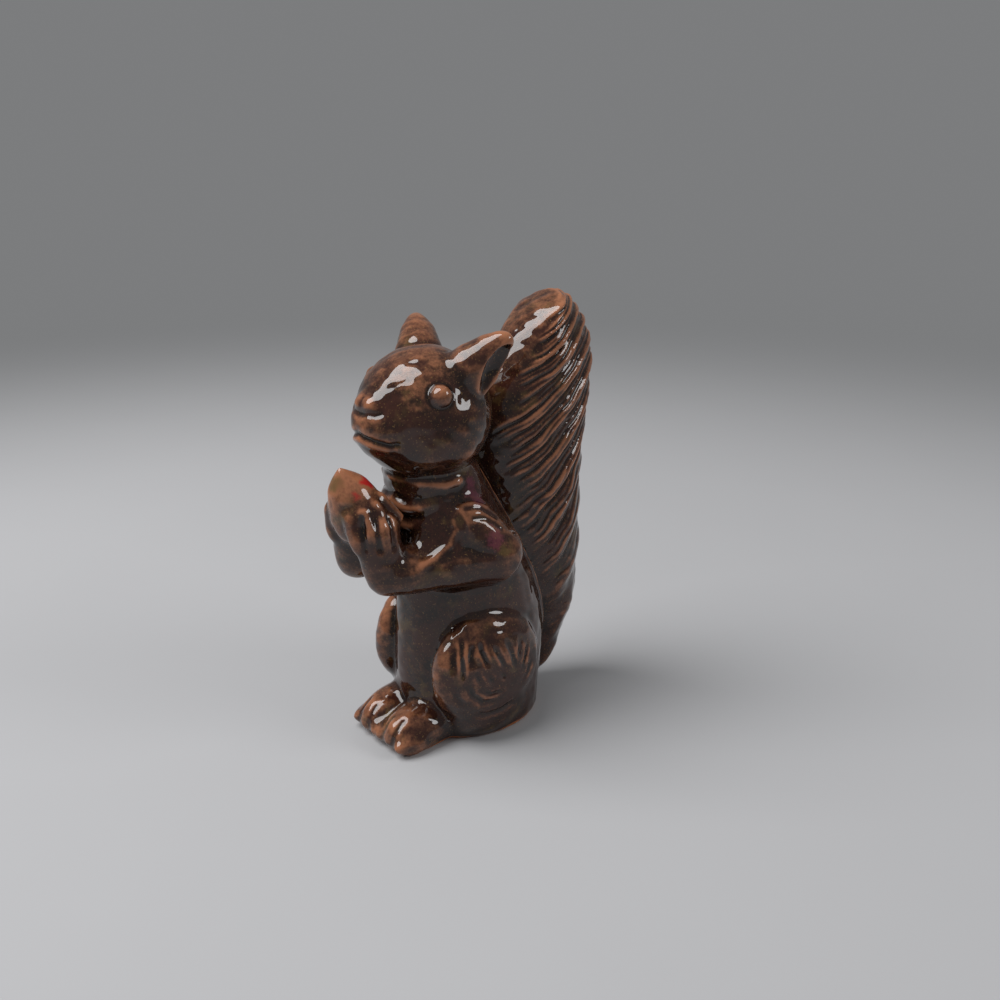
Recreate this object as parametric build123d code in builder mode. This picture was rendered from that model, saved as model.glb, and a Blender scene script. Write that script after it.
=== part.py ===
from build123d import *
import os
from math import acos, cos, radians, sin

# Sitting squirrel of glazed redware, 120 mm tall, facing -Y with its left side on +X.
# Each clay piece is cut by the piece that carries it, so the two faces meet on the seam.

# Cast walls and the vents that let the kiln gas out
wall = 4.0
base_thickness = 5.0
base_edge_radius = 1.6
vent_diameter = 3.5
vent_back = 9.0
tail_vent_diameter = 3.0
tail_vent_height = 40.0
tail_vent_reach = 12.0

# Torso sections, each a step above the one before: half width, half depth and how far back the middle lies
seat_back = 1.0
base_half_width = 18.0
base_half_depth = 21.5
hip_step = 15.0
hip_half_width = 18.8
hip_half_depth = 22.5
waist_step = 19.0
waist_half_width = 17.5
waist_half_depth = 22.0
chest_step = 21.0
chest_back = -4.0
chest_half_width = 15.5
chest_half_depth = 17.5
shoulder_step = 14.0
shoulder_back = -9.0
shoulder_half_width = 14.0
shoulder_half_depth = 14.5
neck_step = 10.0
neck_back = -11.0
neck_half_width = 12.0
neck_half_depth = 12.5

# Head: a ball drawn out to a blunt muzzle along a nose line that dips a little
head_radius = 17.8
head_forward = 1.8
neck_engagement = 4.5
muzzle_taper = 7.3
muzzle_reach = 10.0
nose_dip_angle = 6.0
nose_radius = 2.2
nose_half_width = 3.2
nose_sink = 1.2
nose_rise_angle = 44.0

# Eyes: a bead in a round socket, on a direction seen from the middle of the head
eye_turn_angle = 71.0
eye_rise_angle = 27.0
eye_radius = 2.5
eye_sink = 0.6
eye_socket_radius = 3.6
eye_socket_lift = 1.6

# Ears: a pointed bullet scooped out on its outer and rear side
ear_turn_angle = 120.0
ear_rise_angle = 38.0
ear_length = 16.4
ear_radius = 7.4
ear_shoulder_radius = 6.7
ear_root = 5.0
ear_scoop_radius = 5.4
ear_scoop_half_length = 9.0
ear_scoop_offset = 4.4
ear_scoop_lift = 4.0
ear_scoop_turn_angle = 114.0

# Acorn, leaning forward between the paws
acorn_forward = 34.5
acorn_lift = 2.0
acorn_lean_angle = 21.0
acorn_radius = 7.2
acorn_point = 12.5
acorn_seat = 9.5
acorn_shoulder_radius = 5.3

# Arms
arm_shoulder_spread = 11.0
arm_shoulder_back = 0.0
arm_shoulder_drop = 4.5
arm_shoulder_radius = 8.0
elbow_spread = 14.5
elbow_back = 2.0
elbow_radius = 8.6
wrist_spread = 7.2
wrist_forward = 31.0
wrist_drop = 1.6
wrist_radius = 5.6
palm_spread = 5.2
palm_drop = 5.8
palm_radius = 6.4
finger_count = 4
finger_radius = 2.6
finger_tip_radius = 1.9
finger_bottom = -7.0
finger_top = 1.2
finger_sink = 1.3
finger_tip_sink = 2.5
finger_first_angle = 45.0
finger_step_angle = 30.0

# Haunches
haunch_forward = 5.0
haunch_height = 21.5
haunch_margin = 5.0
haunch_bulge = 8.5
haunch_inset = 4.5

# Feet, which meet on the middle plane
foot_spread = 6.0
foot_overlap = 2.0
foot_height = 4.2
foot_half_length = 12.0
foot_radius = 7.4
toe_count = 3
toe_radius = 3.2
toe_half_length = 7.5
toe_pitch = 4.6
toe_reach = 5.2

# Tail: a front edge and a rear edge in the middle plane, joined by slanting oval sections
tail_front_foot = (21.0, 1.0)
tail_front_low = (17.0, 22.0)
tail_front_nape = (4.0, 68.0)
tail_front_high = (12.0, 104.0)
tail_rear_foot = (27.0, 1.0)
tail_rear_low = (41.0, 34.0)
tail_rear_middle = (42.4, 78.0)
tail_rear_high = (44.4, 108.0)
tail_tip = (32.0, 120.8)
tail_half_width = 10.5
tail_taper_exponent = 4.0
tail_slant_share = 0.9
tail_slant_exponent = 0.7
tail_seat_depth = 6.0

# Section of the tail, as shares of its half width and half depth
tail_front_shoulder = (0.75, -0.6)
tail_widest = (1.0, 0.05)
tail_rear_shoulder = (0.65, 0.68)

# Locks of fur: crests and grooves that follow the slanting sections, between plain rounded ends
lock_count = 13
lock_height = 0.55
lock_first_share = 0.035
tail_end_shares = (0.006, 0.018)
cavity_end_share = 0.09
cavity_section_count = 9

# Places worked out from the sizes above
hip_height = hip_step
waist_height = hip_height + waist_step
chest_height = waist_height + chest_step
shoulder_height = chest_height + shoulder_step
neck_height = shoulder_height + neck_step
acorn_height = shoulder_height + acorn_lift
muzzle_radius = head_radius - muzzle_taper
foot_forward = hip_half_depth - foot_overlap
toe_forward = foot_forward + toe_reach
haunch_radius = hip_half_depth - haunch_margin
head_middle = Vector(0, neck_back - head_forward, neck_height + head_radius - neck_engagement)
acorn_middle = Vector(0, -acorn_forward, acorn_height)
acorn_axis = Vector(0, -sin(radians(acorn_lean_angle)), cos(radians(acorn_lean_angle)))
muzzle_axis = Vector(0, -cos(radians(nose_dip_angle)), -sin(radians(nose_dip_angle)))
muzzle_middle = head_middle + muzzle_axis * muzzle_reach
torso_sections = [
    (hip_height, seat_back, hip_half_width, hip_half_depth),
    (waist_height, seat_back, waist_half_width, waist_half_depth),
    (chest_height, chest_back, chest_half_width, chest_half_depth),
    (shoulder_height, shoulder_back, shoulder_half_width, shoulder_half_depth),
    (neck_height, neck_back, neck_half_width, neck_half_depth),
]


def toward(turn, rise):
    """Unit direction turned from straight ahead (-Y) to the left (+X) and raised from level."""
    level = cos(radians(rise))
    return Vector(level * sin(radians(turn)), -level * cos(radians(turn)), sin(radians(rise)))


def profile_plane(middle, axis):
    """Plane through an axis, its Y direction along the axis, for an outline that is turned about it."""
    aside = Vector(1, 0, 0) if abs(axis.X) < abs(axis.Y) + abs(axis.Z) else Vector(0, 1, 0)
    outward = (aside - axis * aside.dot(axis)).normalized()
    return Plane(middle, x_dir=outward, z_dir=outward.cross(axis))


def spun(middle, axis, outline):
    """Solid turned about an axis through a point, from a function that draws half of its section."""
    with BuildPart() as solid:
        with BuildSketch(profile_plane(middle, axis)):
            with BuildLine():
                outline()
            make_face()
        revolve(axis=Axis(middle, axis * -1))
    return solid.part


def spheroid(middle, axis, half_length, radius):
    """Ball stretched or flattened along an axis."""
    with BuildPart() as solid:
        Sphere(radius)
        scale(by=(1, 1, half_length / radius))
    return Plane(middle, z_dir=axis).location * solid.part


def drop(start, start_radius, end, end_radius):
    """Two balls drawn together by the cone that touches both."""
    reach = (end - start).length
    lean = acos((start_radius - end_radius) / reach)
    rim_start = (start_radius * sin(lean), start_radius * cos(lean))
    rim_end = (end_radius * sin(lean), reach + end_radius * cos(lean))
    tail_side = lean / 2 + radians(90)
    nose_side = lean / 2

    def outline():
        ThreePointArc(
            (0, -start_radius),
            (start_radius * sin(tail_side), start_radius * cos(tail_side)),
            rim_start,
        )
        Line(rim_start, rim_end)
        ThreePointArc(
            rim_end,
            (end_radius * sin(nose_side), reach + end_radius * cos(nose_side)),
            (0, reach + end_radius),
        )
        Line((0, reach + end_radius), (0, -start_radius))

    return spun(start, (end - start).normalized(), outline)


def torso(inset, floor):
    """Torso through its oval sections, drawn in by an inset, from a floor height to the neck."""
    with BuildPart() as solid:
        for height, back, half_width, half_depth in [
            (floor, seat_back, base_half_width, base_half_depth),
            *torso_sections,
        ]:
            with BuildSketch(Plane((0, back, height))):
                Ellipse(half_width - inset, half_depth - inset)
        loft()
    return solid.part


def head_ball(inset):
    """Head as a drop from the skull to the muzzle, drawn in by an inset."""
    return drop(head_middle, head_radius - inset, muzzle_middle, muzzle_radius - inset)


def tail_guides():
    """Front and rear edges of the tail in the middle plane."""
    with BuildLine() as front:
        Spline(*[(0, y, z) for y, z in
                 (tail_front_foot, tail_front_low, tail_front_nape, tail_front_high, tail_tip)])
    with BuildLine() as rear:
        Spline(*[(0, y, z) for y, z in
                 (tail_rear_foot, tail_rear_low, tail_rear_middle, tail_rear_high, tail_tip)])
    return front.line, rear.line


def tail_place(share):
    """Front point, rear point and half width of the slanting section at a share of the way up."""
    front, rear = tail_guides()
    half_width = tail_half_width * (1 - abs(2 * share - 1) ** tail_taper_exponent) ** 0.5
    slant = tail_slant_share * share ** tail_slant_exponent * (1 - share)
    return front @ share, rear @ (share + slant), half_width


def slanting_plane(near, far):
    """Plane across the tail with its Y direction from the front point to the rear point."""
    return Plane((near + far) / 2, x_dir=(1, 0, 0), z_dir=Vector(1, 0, 0).cross(far - near))


def tail_section(share, lift):
    """One section of the plume, raised at its sides and rear by a lift and plain at its front."""
    near, far, half_width = tail_place(share)
    half_depth = (far - near).length / 2
    shoulder = (tail_front_shoulder[0] * half_width, tail_front_shoulder[1] * half_depth)
    widest = (tail_widest[0] * half_width + lift, tail_widest[1] * half_depth)
    rear = (tail_rear_shoulder[0] * half_width + lift, tail_rear_shoulder[1] * half_depth)
    right = [shoulder, widest, rear]
    left = [(-x, y) for x, y in reversed(right)]
    with BuildSketch(slanting_plane(near, far)) as section:
        with BuildLine():
            Spline((0, -half_depth), *right, (0, half_depth + lift), *left, periodic=True)
        make_face()
    return section.sketch


def tail_plume():
    """Tail with its locks, lofted through crests and grooves from the foot to the tip."""
    lock_step = (1 - 2 * lock_first_share) / (2 * lock_count)
    crests = [(lock_first_share + index * lock_step, lock_height * (-1) ** index)
              for index in range(1, 2 * lock_count)]
    plain_foot = [(share, 0.0) for share in (*tail_end_shares, lock_first_share)]
    plain_tip = [(1 - share, 0.0) for share, _ in reversed(plain_foot)]
    with BuildPart() as solid:
        for share, lift in plain_foot + crests + plain_tip:
            add(tail_section(share, lift))
        loft()
    return solid.part


def tail_cavity():
    """Hollow of the tail, a wall inside its sides and further from the luted seam in front."""
    with BuildPart() as solid:
        for index in range(cavity_section_count):
            span = 1 - 2 * cavity_end_share
            near, far, half_width = tail_place(cavity_end_share + span * index / (cavity_section_count - 1))
            depth = (far - near).normalized()
            near = near + depth * (wall + tail_seat_depth)
            far = far - depth * wall
            with BuildSketch(slanting_plane(near, far)):
                Ellipse(half_width - wall, (far - near).length / 2)
        loft()
    return solid.part


# Whole forms, before the pieces are hollowed and cut to each other
torso_solid = torso(0.0, 0.0)
head_solid = head_ball(0.0)
nose_middle = muzzle_middle + toward(0.0, nose_rise_angle) * (muzzle_radius - nose_sink)
eye_direction = toward(eye_turn_angle, eye_rise_angle)
eye_surface = head_middle + eye_direction * head_radius
ear_axis = toward(ear_turn_angle, ear_rise_angle)
ear_base = head_middle + ear_axis * head_radius
wrist = Vector(wrist_spread, -wrist_forward, chest_height - wrist_drop)
elbow = Vector(elbow_spread, chest_back + elbow_back, chest_height)
shoulder = Vector(arm_shoulder_spread, shoulder_back + arm_shoulder_back, shoulder_height - arm_shoulder_drop)
palm = acorn_middle - acorn_axis * palm_drop + Vector(palm_spread, 0, 0)


with BuildPart() as tail_vent_tool:
    with BuildSketch(Plane((0, seat_back, tail_vent_height), x_dir=(1, 0, 0), z_dir=(0, 1, 0))):
        Circle(tail_vent_diameter / 2)
    extrude(amount=waist_half_depth + tail_vent_reach)
tail_vent = tail_vent_tool.part


def acorn_outline():
    """Half section of the acorn: a rounded seat below, a pointed arch above."""
    Spline(
        (0, -acorn_seat),
        (acorn_radius, 0),
        (acorn_shoulder_radius, acorn_point / 2),
        (0, acorn_point),
        tangents=((1, 0), (-1, 1)),
    )
    Line((0, acorn_point), (0, -acorn_seat))


def ear_outline():
    """Half section of an ear: a straight root sunk in the head, a pointed arch above."""
    Line((0, -ear_root), (ear_radius, -ear_root))
    Line((ear_radius, -ear_root), (ear_radius, 0))
    Spline(
        (ear_radius, 0),
        (ear_shoulder_radius, ear_length / 2),
        (0, ear_length),
        tangents=((0, 1), (-1, 0.9)),
    )
    Line((0, ear_length), (0, -ear_root))


# Body: hollow torso, closed below, with a vent through its base
with BuildPart() as body_shell:
    add(torso_solid)
    fillet(body_shell.edges().sort_by(Axis.Z)[0], base_edge_radius)
    add(torso(wall, base_thickness), mode=Mode.SUBTRACT)
    with Locations((0, vent_back, 0)):
        Cylinder(vent_diameter / 2, 3 * base_thickness, mode=Mode.SUBTRACT)
    add(tail_vent, mode=Mode.SUBTRACT)

# Head: hollow ball, open where the neck enters it
with BuildPart() as head_shell:
    add(head_solid)
    add(spheroid(nose_middle, Vector(1, 0, 0), nose_half_width, nose_radius))
    add(head_ball(wall), mode=Mode.SUBTRACT)
    add(torso_solid, mode=Mode.SUBTRACT)
    for turn in (eye_turn_angle, -eye_turn_angle):
        outward = toward(turn, eye_rise_angle)
        with Locations(Plane(head_middle + outward * (head_radius + eye_socket_lift), z_dir=outward)):
            Sphere(eye_socket_radius, mode=Mode.SUBTRACT)

with BuildPart() as left_eye:
    with Locations(Plane(eye_surface - eye_direction * eye_sink, z_dir=eye_direction)):
        Sphere(eye_radius)
    add(head_shell.part, mode=Mode.SUBTRACT)

with BuildPart() as left_ear:
    add(spun(ear_base, ear_axis, ear_outline))
    scoop_middle = ear_base + ear_axis * ear_scoop_lift + toward(ear_scoop_turn_angle, 0.0) * ear_scoop_offset
    add(spheroid(scoop_middle, ear_axis, ear_scoop_half_length, ear_scoop_radius), mode=Mode.SUBTRACT)
    add(head_solid, mode=Mode.SUBTRACT)

with BuildPart() as acorn:
    add(spun(acorn_middle, acorn_axis, acorn_outline))

with BuildPart() as left_arm:
    add(drop(elbow, elbow_radius, shoulder, arm_shoulder_radius))
    add(drop(elbow, elbow_radius, wrist, wrist_radius))
    add(drop(wrist, wrist_radius, palm, palm_radius))
    for index in range(finger_count):
        turn = radians(finger_first_angle + index * finger_step_angle)
        front = acorn_axis.cross(Vector(1, 0, 0)).normalized()
        outward = Vector(1, 0, 0) * sin(turn) - front * cos(turn)
        root_reach = acorn_radius + finger_radius - finger_sink
        tip_reach = acorn_radius + finger_tip_radius - finger_tip_sink
        add(drop(
            acorn_middle + outward * root_reach + acorn_axis * finger_bottom,
            finger_radius,
            acorn_middle + outward * tip_reach + acorn_axis * finger_top,
            finger_tip_radius,
        ))
    split(bisect_by=Plane.YZ, keep=Keep.TOP)
    add(acorn.part, mode=Mode.SUBTRACT)
    add(torso_solid, mode=Mode.SUBTRACT)

with BuildPart() as left_haunch:
    add(spheroid(
        Vector(hip_half_width - haunch_inset, seat_back - haunch_forward, haunch_height),
        Vector(1, 0, 0),
        haunch_bulge,
        haunch_radius,
    ))
    split(bisect_by=Plane.XY, keep=Keep.TOP)
    add(torso_solid, mode=Mode.SUBTRACT)

with BuildPart() as left_foot:
    add(spheroid(
        Vector(foot_spread, -foot_forward, foot_height),
        Vector(0, 1, 0),
        foot_half_length,
        foot_radius,
    ))
    for index in range(toe_count):
        offset = (index - (toe_count - 1) / 2) * toe_pitch
        add(spheroid(
            Vector(foot_spread + offset, -toe_forward, toe_radius),
            Vector(0, 1, 0),
            toe_half_length,
            toe_radius,
        ))
    split(bisect_by=Plane.XY, keep=Keep.TOP)
    split(bisect_by=Plane.YZ, keep=Keep.TOP)
    add(torso_solid, mode=Mode.SUBTRACT)
    add(left_haunch.part, mode=Mode.SUBTRACT)

# Tail: hollow plume, vented through the luted seam into the body
with BuildPart() as tail_shell:
    add(tail_plume())
    split(bisect_by=Plane.XY, keep=Keep.TOP)
    add(tail_cavity(), mode=Mode.SUBTRACT)
    add(torso_solid, mode=Mode.SUBTRACT)
    add(tail_vent, mode=Mode.SUBTRACT)

os.makedirs("parts", exist_ok=True)
single = {
    "body_shell": body_shell,
    "head_shell": head_shell,
    "acorn": acorn,
    "tail_shell": tail_shell,
}
for name, piece in single.items():
    piece.part.label = name
    export_step(piece.part, f"parts/{name}.step")

paired = {"eye": left_eye, "ear": left_ear, "arm": left_arm, "haunch": left_haunch, "foot": left_foot}
for name, left in paired.items():
    with BuildPart() as right:
        mirror(left.part, about=Plane.YZ)
    left.part.label = f"left_{name}"
    right.part.label = f"right_{name}"
    export_step(left.part, f"parts/left_{name}.step")
    export_step(right.part, f"parts/right_{name}.step")
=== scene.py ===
"""Looks of a sitting squirrel figurine in a treacle-brown glaze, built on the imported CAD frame."""

import logging
from dataclasses import dataclass, field
from enum import Enum
from typing import Any, Union

import bpy
import numpy as np
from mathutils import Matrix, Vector
from mathutils.bvhtree import BVHTree


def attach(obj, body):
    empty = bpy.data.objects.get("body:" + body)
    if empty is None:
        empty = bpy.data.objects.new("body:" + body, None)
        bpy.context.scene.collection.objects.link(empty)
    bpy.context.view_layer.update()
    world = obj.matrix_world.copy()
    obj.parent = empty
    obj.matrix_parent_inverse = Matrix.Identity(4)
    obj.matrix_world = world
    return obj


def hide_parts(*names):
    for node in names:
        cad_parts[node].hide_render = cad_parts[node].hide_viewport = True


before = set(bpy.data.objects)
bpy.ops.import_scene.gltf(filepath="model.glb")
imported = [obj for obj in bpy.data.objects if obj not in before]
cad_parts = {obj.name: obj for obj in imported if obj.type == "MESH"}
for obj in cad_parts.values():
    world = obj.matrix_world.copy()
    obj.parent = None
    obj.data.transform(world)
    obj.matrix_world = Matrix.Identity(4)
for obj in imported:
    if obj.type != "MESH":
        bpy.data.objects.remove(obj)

logging.basicConfig(level=logging.INFO, format="%(message)s")
log = logging.getLogger("squirrel")

MM = 0.001
TINY = 1e-9  # keeps a division by a length from being one by 0
BELL_REACH = 3.0  # widths away from its middle, where a bell curve is next to nothing
LEAST_STRENGTH = 0.001  # below this share of a smoothing step, a point stays where it is
Place = tuple[float, float, float]
Colour = tuple[float, float, float]
Span = tuple[float, float]


class Clay(Enum):
    """The CAD nodes, each of which one finished piece stands for."""

    BODY = "body_shell"
    HEAD = "head_shell"
    TAIL = "tail_shell"
    ACORN = "acorn"
    LEFT_ARM = "left_arm"
    RIGHT_ARM = "right_arm"
    LEFT_EAR = "left_ear"
    RIGHT_EAR = "right_ear"
    LEFT_EYE = "left_eye"
    RIGHT_EYE = "right_eye"
    LEFT_HAUNCH = "left_haunch"
    RIGHT_HAUNCH = "right_haunch"
    LEFT_FOOT = "left_foot"
    RIGHT_FOOT = "right_foot"


CLAY = list(Clay)
ARMS = (Clay.LEFT_ARM, Clay.RIGHT_ARM)
EARS = (Clay.LEFT_EAR, Clay.RIGHT_EAR)
EYES = (Clay.LEFT_EYE, Clay.RIGHT_EYE)
HAUNCHES = (Clay.LEFT_HAUNCH, Clay.RIGHT_HAUNCH)
FEET = (Clay.LEFT_FOOT, Clay.RIGHT_FOOT)


def smoothstep(low: float, high: float, values: np.ndarray) -> np.ndarray:
    """Soft step from 0 at low to 1 at high.

    Args:
        low: value where the step starts.
        high: value where the step ends; it may be below low.
        values: values to be stepped.

    Returns:
        The stepped values, from 0 to 1.
    """
    place = np.clip((values - low) / (high - low), 0.0, 1.0)
    return place * place * (3.0 - 2.0 * place)


def bell(gaps: np.ndarray, width: float) -> np.ndarray:
    """Bell curve, which is 1 at a gap of 0."""
    return np.exp(-((gaps / width) ** 2))


def fold(points: np.ndarray) -> np.ndarray:
    """Folds the right side of the figure over to the left.

    Args:
        points: places in millimetres.

    Returns:
        The folded places, with no X below 0.
    """
    folded = points.copy()
    folded[:, 0] = np.abs(folded[:, 0])
    return folded


@dataclass(frozen=True)
class Unevenness:
    """Smooth random waves, for the hand-made unevenness of clay and glaze.

    The calming keeps most peaks of the added waves within the height.
    """

    seed: int
    wavelength: float
    height: float
    waves: int = 24
    stretch: Span = (0.6, 1.6)
    calming: float = 0.6

    def at(self, points: np.ndarray) -> np.ndarray:
        """Height of the waves.

        Args:
            points: places in millimetres.

        Returns:
            Values that seldom pass the height up or down, one for each place.
        """
        dice = np.random.default_rng(self.seed)
        total = np.zeros(len(points))
        for _ in range(self.waves):
            direction = dice.normal(size=3)
            direction /= np.linalg.norm(direction)
            wavelength = self.wavelength * dice.uniform(*self.stretch)
            phase = dice.uniform(0.0, 2.0 * np.pi)
            total += np.sin(points @ direction * (2.0 * np.pi / wavelength) + phase)
        return total * np.sqrt(2.0 / self.waves) * self.calming * self.height


@dataclass(frozen=True)
class Stroke:
    """A groove or a ridge drawn along a path on the left side and mirrored to the right.

    A sideways stroke is drawn as seen from the side, so the X of its path doesn't count. The taper is the
    length over which an end fades, in widths. A path that starts in the middle plane has no fading start.
    """

    path: tuple[Place, ...]
    width: float
    height: float
    sideways: bool = False
    taper: float = 2.5

    def at(self, points: np.ndarray) -> np.ndarray:
        """Height of the stroke.

        Args:
            points: places in millimetres.

        Returns:
            Millimetres, one for each place.
        """
        seen = (0.0 if self.sideways else 1.0, 1.0, 1.0)
        folded = fold(points) * seen
        knots = np.array(self.path) * seen
        low = knots.min(axis=0) - BELL_REACH * self.width
        high = knots.max(axis=0) + BELL_REACH * self.width
        near = np.all((folded > low) & (folded < high), axis=1)
        spots = folded[near]
        gap = np.full(len(spots), np.inf)
        along = np.zeros(len(spots))
        run = 0.0
        for start, end in zip(knots[:-1], knots[1:]):
            way = end - start
            length = np.linalg.norm(way)
            share = np.clip((spots - start) @ way / length**2, 0.0, 1.0)
            apart = np.linalg.norm(spots - start - share[:, None] * way, axis=1)
            along = np.where(apart < gap, run + share * length, along)
            gap = np.minimum(gap, apart)
            run += length
        fade = smoothstep(run, run - self.taper * self.width, along)
        if self.sideways or self.path[0][0] > 0.0:
            fade = fade * smoothstep(0.0, self.taper * self.width, along)
        heights = np.zeros(len(points))
        heights[near] = self.height * bell(gap, self.width) * fade
        return heights


@dataclass(frozen=True)
class Blob:
    """A soft round swelling, dimple or stain."""

    middle: Place
    radius: float
    height: float
    both_sides: bool = True

    def at(self, points: np.ndarray) -> np.ndarray:
        """Height of the blob.

        Args:
            points: places in millimetres.

        Returns:
            Height, one for each place.
        """
        spots = fold(points) if self.both_sides else points
        return self.height * bell(np.linalg.norm(spots - np.array(self.middle), axis=1), self.radius)


def total_height(forms: tuple[Union[Stroke, Blob], ...], points: np.ndarray) -> np.ndarray:
    """Adds up strokes and blobs.

    Args:
        forms: the strokes and blobs.
        points: places in millimetres.

    Returns:
        Height, one for each place.
    """
    return sum((form.at(points) for form in forms), np.zeros(len(points)))


class Skin:
    """The outer surface of the whole figure while it is still one mesh, in millimetres."""

    def __init__(self, mesh: bpy.types.Mesh) -> None:
        """Reads a mesh of quads.

        Args:
            mesh: the fused surface, in metres.
        """
        count = len(mesh.vertices)
        flat = np.empty(count * 3)
        mesh.vertices.foreach_get("co", flat)
        self.points = flat.reshape(count, 3) / MM
        corners = np.empty(len(mesh.loops), dtype=np.int64)
        mesh.loops.foreach_get("vertex_index", corners)
        self.faces = corners.reshape(-1, 4)
        ends = np.empty(len(mesh.edges) * 2, dtype=np.int64)
        mesh.edges.foreach_get("vertices", ends)
        self.edges = ends.reshape(-1, 2)
        self.valence = np.bincount(self.edges.ravel(), minlength=count)
        self.labels = np.zeros(count, dtype=np.int64)
        self.others = np.zeros(count, dtype=np.int64)
        self.apart = np.zeros(count)
        self.marks: dict[str, np.ndarray] = {}
        self.turn_normals()

    def turn_normals(self) -> None:
        """Works out the normals again after the points moved."""
        a, b, c, d = (self.points[self.faces[:, k]] for k in range(4))
        across = np.cross(c - a, d - b)
        total = np.zeros_like(self.points)
        for axis in range(3):
            for corner in range(4):
                total[:, axis] += np.bincount(
                    self.faces[:, corner], weights=across[:, axis], minlength=len(self.points))
        self.normals = total / np.maximum(np.linalg.norm(total, axis=1, keepdims=True), TINY)

    def neighbour_mean(self, values: np.ndarray) -> np.ndarray:
        """Mean of a value over the neighbours of each point.

        Args:
            values: one row for each point.

        Returns:
            The means, in the same shape.
        """
        first, second = self.edges[:, 0], self.edges[:, 1]
        columns = values.reshape(len(values), -1)
        means = np.empty_like(columns)
        for k in range(columns.shape[1]):
            means[:, k] = (
                np.bincount(first, weights=columns[second, k], minlength=len(values))
                + np.bincount(second, weights=columns[first, k], minlength=len(values))
            ) / self.valence
        return means.reshape(values.shape)

    def relax(self, strength: np.ndarray, rounds: int) -> None:
        """Smooths the surface, as glaze fills a crease.

        Args:
            strength: share of each step, from 0 to 1, one for each point.
            rounds: how many steps.
        """
        moving = strength > LEAST_STRENGTH
        ends = self.edges[moving[self.edges].any(axis=1)]
        involved, packed = np.unique(ends, return_inverse=True)
        first, second = packed.reshape(-1, 2).T
        local = self.points[involved]
        valence = self.valence[involved][:, None]
        share = np.where(moving, strength, 0.0)[involved][:, None] / valence
        total = np.empty_like(local)
        for _ in range(rounds):
            for axis in range(3):
                column = local[:, axis]
                total[:, axis] = np.bincount(first, weights=column[second], minlength=len(column))
                total[:, axis] += np.bincount(second, weights=column[first], minlength=len(column))
            local += (total - local * valence) * share
        self.points[involved] = local
        self.turn_normals()

    def raise_by(self, heights: np.ndarray) -> None:
        """Moves each point along its normal.

        Args:
            heights: how far, in millimetres.
        """
        self.points = self.points + self.normals * heights[:, None]
        self.turn_normals()

    def hollow(self, rounds: int) -> np.ndarray:
        """How far the surroundings of each point stand above it.

        Args:
            rounds: smoothing steps, which set how wide the surroundings are.

        Returns:
            Millimetres, positive in a crease and negative on a ridge.
        """
        smooth = self.feathered(self.points, rounds)
        return np.einsum("ij,ij->i", smooth - self.points, self.normals)

    def of(self, *kinds: Clay) -> np.ndarray:
        """Which points belong to these clay pieces.

        Args:
            kinds: the clay pieces.

        Returns:
            1 where the point belongs to one of them, else 0.
        """
        return np.isin(self.labels, [CLAY.index(kind) for kind in kinds]).astype(float)

    def meets(self, *kinds: Clay) -> np.ndarray:
        """Which points have one of these clay pieces as their nearest neighbour.

        Args:
            kinds: the clay pieces.

        Returns:
            1 where one of them is, else 0.
        """
        return np.isin(self.others, [CLAY.index(kind) for kind in kinds]).astype(float)

    def feathered(self, values: np.ndarray, rounds: int) -> np.ndarray:
        """Values that are evened out over the surface, such as a mask with a soft edge.

        Args:
            values: one row for each point.
            rounds: smoothing steps.

        Returns:
            The softened values.
        """
        for _ in range(rounds):
            values = self.neighbour_mean(values)
        return values

    def soft(self, rounds: int, *kinds: Clay) -> np.ndarray:
        """Mask of some clay pieces with a soft edge."""
        return self.feathered(self.of(*kinds), rounds)


@dataclass(frozen=True)
class Zone:
    """Part of the figure that is smoothed, with soft bounds to its heights and, if given, to its depths."""

    strength: float
    rounds: int
    heights: Span
    depths: Union[Span, None] = None

    def share(self, skin: Skin) -> np.ndarray:
        """How far each point is within the bounds.

        Args:
            skin: the fused surface.

        Returns:
            Values from 0 to 1.
        """
        inside = smoothstep(*self.heights, skin.points[:, 2])
        if self.depths:
            inside = inside * smoothstep(*self.depths, skin.points[:, 1])
        return inside

    def smooth(self, skin: Skin, mask: np.ndarray) -> None:
        """Smooths the masked points."""
        skin.relax(self.strength * mask, self.rounds)


@dataclass(frozen=True)
class Lump:
    """Oval lump of slip on both sides, which fills a deep corner or thickens a bead."""

    middle: Place
    radii: Place
    segments: int = 48

    def build(self) -> list[bpy.types.Object]:
        """Adds the two lumps.

        Returns:
            The lumps.
        """
        made = []
        across, back, up = self.middle
        for side in (-1.0, 1.0):
            bpy.ops.object.select_all(action="DESELECT")
            bpy.ops.mesh.primitive_uv_sphere_add(
                segments=self.segments, ring_count=self.segments // 2, radius=MM)
            bpy.ops.transform.resize(value=self.radii)
            bpy.ops.transform.translate(value=(side * across * MM, back * MM, up * MM))
            bpy.ops.object.transform_apply(location=True, rotation=True, scale=True)
            made.append(bpy.context.active_object)
        return made


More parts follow.
